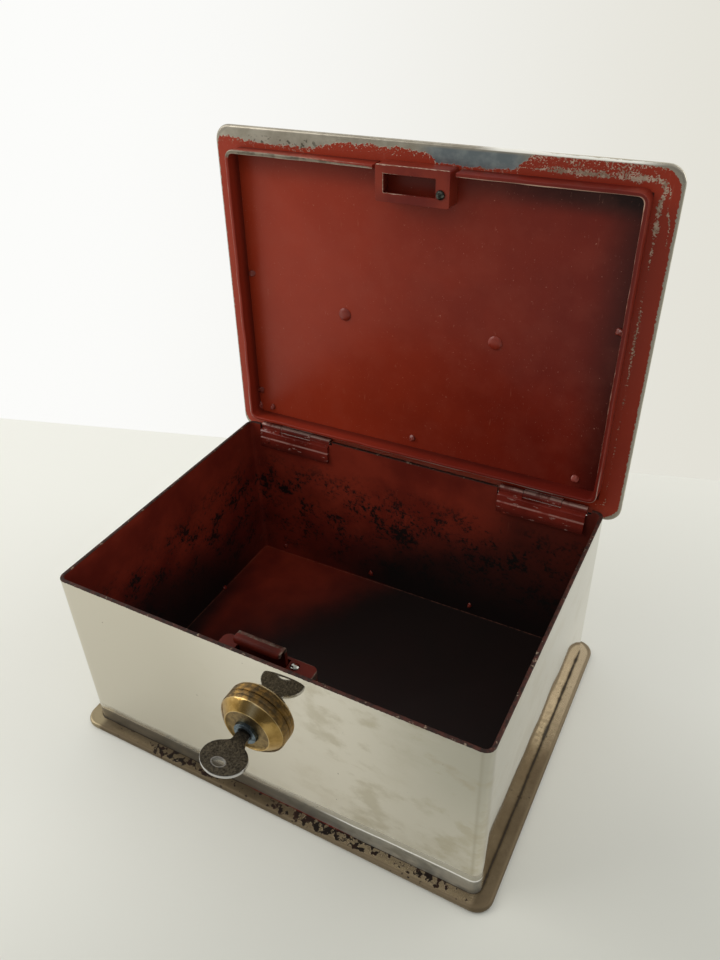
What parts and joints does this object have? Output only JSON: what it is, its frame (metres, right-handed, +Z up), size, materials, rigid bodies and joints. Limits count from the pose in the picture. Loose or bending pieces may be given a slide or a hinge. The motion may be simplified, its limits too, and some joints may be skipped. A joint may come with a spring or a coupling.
{
  "type": "iron strongbox",
  "caption": "Low rectangular iron strongbox with overhanging base and hinged lid, cylinder lock with key, keep and hook, inner lid frame and a swinging lid handle.",
  "frame": {"origin": "centre of the base plate's underside", "axes": "+X to the right seen from the lock side, +Y to the hinge side, +Z up"},
  "size_m": [0.255, 0.2361, 0.2967],
  "materials": {
    "nickel_plate": "old mirror nickel plate, lightly stained",
    "tarnished_nickel": "tarnished plate with rust",
    "red_oxide": "worn red oxide paint",
    "brass": "turned, tarnished",
    "zinc": "dull",
    "steel": "worn bright",
    "dark_steel": "dark",
    "key_steel": "dark, mottled, bright edges"
  },
  "bodies": {
    "box": {"base_plate": "tarnished_nickel", "body_shell": "nickel_plate", "lock_case": "red_oxide", "lock_boss": "brass", "cylinder_body": "zinc", "hook_pivot": "steel", "hinge_body_leaf_left": "red_oxide", "hinge_body_leaf_right": "red_oxide", "hinge_pin_left": "steel", "hinge_pin_right": "steel"},
    "lid": {"lid_plate": "nickel_plate", "lid_frame": "red_oxide", "keep_box": "red_oxide", "keep_pin": "steel", "hinge_lid_leaf_left": "red_oxide", "hinge_lid_leaf_right": "red_oxide", "handle_post_left": "nickel_plate", "handle_post_right": "nickel_plate"},
    "handle": {"bail_handle": "nickel_plate"},
    "plug": {"cylinder_plug": "dark_steel", "lock_cam": "steel"},
    "loose_key": {"key": "key_steel"},
    "hook": {"lock_hook": "red_oxide"},
    "trigger": {"trigger_button": "steel"}
  },
  "joints": [
    {"name": "lid_hinge", "type": "hinge", "parent": "box", "child": "lid", "pos_m": [0, 0.09075, 0.1094], "axis": [1, 0, 0], "range_deg": [0, 91.8]},
    {"name": "handle_swing", "type": "hinge", "parent": "lid", "child": "handle", "pos_m": [0, 0.10673, 0.19774], "axis": [1, 0, 0], "range_deg": [-8.2, 184.5]},
    {"name": "plug_turn", "type": "hinge", "parent": "box", "child": "plug", "pos_m": [0, -0.08925, 0.0669], "axis": [0, 1, 0], "range_deg": [0, 90]},
    {"name": "key_slide", "type": "slide", "parent": "plug", "child": "loose_key", "axis": [0, -1, 0], "range_m": [0, 0.024]},
    {"name": "hook_swing", "type": "hinge", "parent": "box", "child": "hook", "pos_m": [0, -0.07645, 0.0535], "axis": [1, 0, 0], "range_deg": [0, 4]},
    {"name": "trigger_press", "type": "slide", "parent": "box", "child": "trigger", "axis": [0, 0, -1], "range_m": [0, 0.002], "stiffness_N_per_m": 300, "springref_m": -0.001}
  ],
  "couplings": [
    {"joint": "hook_swing", "follows": "plug_turn", "ratio": 0.0444}
  ]
}
